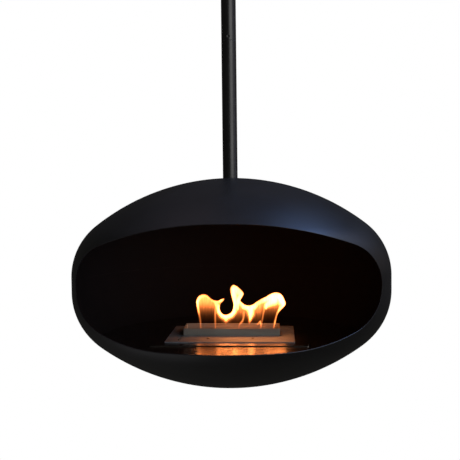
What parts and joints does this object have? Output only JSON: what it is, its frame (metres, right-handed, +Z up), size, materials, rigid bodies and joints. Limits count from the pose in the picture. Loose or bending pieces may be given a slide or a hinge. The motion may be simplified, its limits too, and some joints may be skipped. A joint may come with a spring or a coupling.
{
  "type": "hanging fireplace",
  "caption": "Hollow flattened-sphere fireplace hung from the ceiling on a swivelling pole, with a curved front opening and a lift-out fuel burner with a sliding damper.",
  "frame": {"origin": "centre of the ceiling plate's top face, where the part is bolted up", "axes": "+Z up along the pole, -Y out of the front opening, +X to the right of someone facing the opening"},
  "size_m": [0.91, 0.8709, 1.3829],
  "materials": {
    "satin_black_paint": "satin heat-resistant paint",
    "zinc_plated_steel": "zinc plated",
    "machined_steel": "machined",
    "brushed_stainless": "brushed, a little heat-tinted",
    "bronze": "machined",
    "ceramic_wool": "soft fibre"
  },
  "bodies": {
    "ceiling_mount": {"ceiling_plate": "zinc_plated_steel", "swivel_housing": "machined_steel", "housing_screws": "zinc_plated_steel", "lower_bearing_race": "machined_steel", "guide_bush": "bronze", "canopy": "satin_black_paint", "canopy_screws": "satin_black_paint"},
    "bearing_cage": {"bearing_balls": "machined_steel", "ball_cage": "bronze"},
    "hearth": {"upper_bearing_race": "machined_steel", "swivel_shaft": "machined_steel", "shaft_nut": "zinc_plated_steel", "nut_lock_pin": "machined_steel", "upper_pole_tube": "satin_black_paint", "cross_bolt": "zinc_plated_steel", "cross_bolt_nut": "zinc_plated_steel", "pole_spigot": "machined_steel", "pole_joint_screws": "satin_black_paint", "lower_pole_tube": "satin_black_paint", "pole_flange": "zinc_plated_steel", "crown_ring": "zinc_plated_steel", "flange_bolts": "zinc_plated_steel", "flange_washers": "zinc_plated_steel", "shell_upper_head": "satin_black_paint", "shell_lower_head": "satin_black_paint", "floor_brackets": "satin_black_paint", "floor_plate": "satin_black_paint", "floor_screws": "satin_black_paint", "burner_frame": "satin_black_paint", "frame_nuts": "zinc_plated_steel"},
    "burner": {"burner_flange": "brushed_stainless", "burner_collar": "brushed_stainless", "tray_lid": "brushed_stainless", "fuel_tray": "brushed_stainless", "fuel_wool": "ceramic_wool", "tray_spacers": "machined_steel", "flange_screws": "machined_steel", "damper_rails": "machined_steel"},
    "damper": {"damper_plate": "brushed_stainless", "damper_lever": "satin_black_paint", "lever_rivets": "machined_steel"}
  },
  "joints": [
    {"name": "pole_swivel", "type": "hinge", "parent": "ceiling_mount", "child": "hearth", "pos_m": [0, 0, 0], "axis": [0, 0, 1], "continuous": true},
    {"name": "cage_roll", "type": "hinge", "parent": "ceiling_mount", "child": "bearing_cage", "pos_m": [0, 0, 0], "axis": [0, 0, 1], "continuous": true},
    {"name": "burner_lift", "type": "slide", "parent": "hearth", "child": "burner", "axis": [0, 0, 1], "range_m": [0, 0.12]},
    {"name": "damper_slide", "type": "slide", "parent": "burner", "child": "damper", "axis": [0, 1, 0], "range_m": [0, 0.048]}
  ],
  "couplings": [
    {"joint": "cage_roll", "follows": "pole_swivel", "ratio": 0.5}
  ]
}
